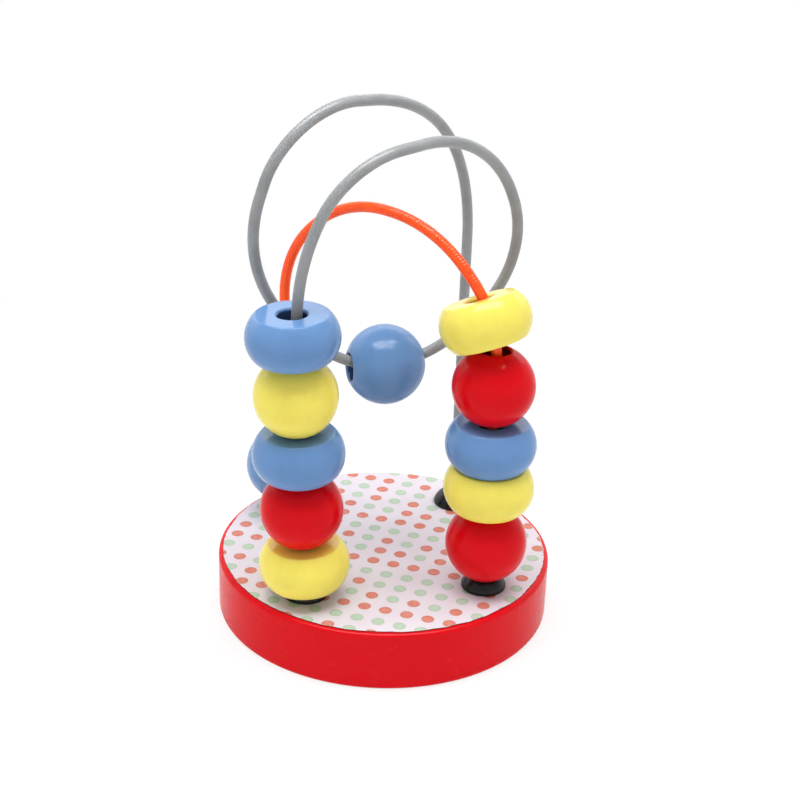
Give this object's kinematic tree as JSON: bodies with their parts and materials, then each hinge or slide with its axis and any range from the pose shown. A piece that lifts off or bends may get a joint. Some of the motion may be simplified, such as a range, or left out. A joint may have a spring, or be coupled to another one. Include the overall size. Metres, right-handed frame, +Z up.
{
  "type": "bead maze",
  "caption": "Tabletop bead maze toy: a round wooden base with bent, plastic-sleeved wires that carry loose wooden beads which spin in stacks and slide along the wires.",
  "frame": {"origin": "centre of the base's underside", "axes": "+Z up, front towards -Y, left and right as seen from the front"},
  "size_m": [0.1, 0.1, 0.1599],
  "materials": {
    "red_paint": "glossy red paint on wood",
    "yellow_paint": "glossy pale yellow paint on wood",
    "blue_paint": "glossy light blue paint on wood",
    "print": "printed paper sheet, pale with coral and mint dots",
    "cap": "smooth black",
    "steel": "plain drawn wire",
    "grey_sleeve": "soft satin grey sleeve",
    "orange_sleeve": "soft satin orange sleeve"
  },
  "bodies": {
    "stand": {"base_disc": "red_paint", "top_print": "print", "cap_front_left": "cap", "cap_front_right": "cap", "cap_back_left": "cap", "cap_back_right": "cap", "grey_core": "steel", "grey_sleeve": "grey_sleeve", "orange_core": "steel", "orange_sleeve": "orange_sleeve"},
    "left_1": {"left_bead_1": "yellow_paint"},
    "left_2": {"left_bead_2": "red_paint"},
    "left_3": {"left_bead_3": "blue_paint"},
    "left_4": {"left_bead_4": "yellow_paint"},
    "left_5": {"left_bead_5": "blue_paint"},
    "right_1": {"right_bead_1": "red_paint"},
    "right_2": {"right_bead_2": "yellow_paint"},
    "right_3": {"right_bead_3": "blue_paint"},
    "right_4": {"right_bead_4": "red_paint"},
    "right_5": {"right_bead_5": "yellow_paint"},
    "loop": {"loop_bead": "blue_paint"},
    "back": {"back_bead": "blue_paint"}
  },
  "joints": [
    {"name": "left_1_spin", "type": "hinge", "parent": "stand", "child": "left_1", "pos_m": [-0.02636, -0.026, 0.02868], "axis": [-0.0349, 0, 0.9994], "continuous": true},
    {"name": "left_2_spin", "type": "hinge", "parent": "stand", "child": "left_2", "pos_m": [-0.02727, -0.02637, 0.04618], "axis": [-0.0349, 0, 0.9994], "continuous": true},
    {"name": "left_3_spin", "type": "hinge", "parent": "stand", "child": "left_3", "pos_m": [-0.02819, -0.02675, 0.06368], "axis": [-0.0349, 0, 0.9994], "continuous": true},
    {"name": "left_4_spin", "type": "hinge", "parent": "stand", "child": "left_4", "pos_m": [-0.0291, -0.02712, 0.08118], "axis": [-0.0349, 0, 0.9994], "continuous": true},
    {"name": "left_5_ride", "type": "hinge", "parent": "stand", "child": "left_5", "pos_m": [0.02961, -0.06493, 0.10076], "axis": [0.554, 0.8323, 0.0193], "range_deg": [0, 20]},
    {"name": "right_1_spin", "type": "hinge", "parent": "stand", "child": "right_1", "pos_m": [0.026, -0.026, 0.03299], "axis": [0, 0, 1], "continuous": true},
    {"name": "right_2_spin", "type": "hinge", "parent": "stand", "child": "right_2", "pos_m": [0.026, -0.0254, 0.0505], "axis": [0, 0, 1], "continuous": true},
    {"name": "right_3_spin", "type": "hinge", "parent": "stand", "child": "right_3", "pos_m": [0.026, -0.0248, 0.0637], "axis": [0, 0, 1], "continuous": true},
    {"name": "right_4_spin", "type": "hinge", "parent": "stand", "child": "right_4", "pos_m": [0.026, -0.0242, 0.08121], "axis": [0, 0, 1], "continuous": true},
    {"name": "right_5_ride", "type": "hinge", "parent": "stand", "child": "right_5", "pos_m": [0.00331, -0.00331, 0.08823], "axis": [-0.7071, -0.7071, 0], "range_deg": [0, 16]},
    {"name": "loop_ride", "type": "hinge", "parent": "stand", "child": "loop", "pos_m": [0.00038, -0.00335, 0.1039], "axis": [-0.1556, 0.9557, 0.25], "range_deg": [-25, 20]},
    {"name": "back_slide", "type": "slide", "parent": "stand", "child": "back", "axis": [-0.0349, 0, 0.9994], "range_m": [0, 0.04]}
  ]
}
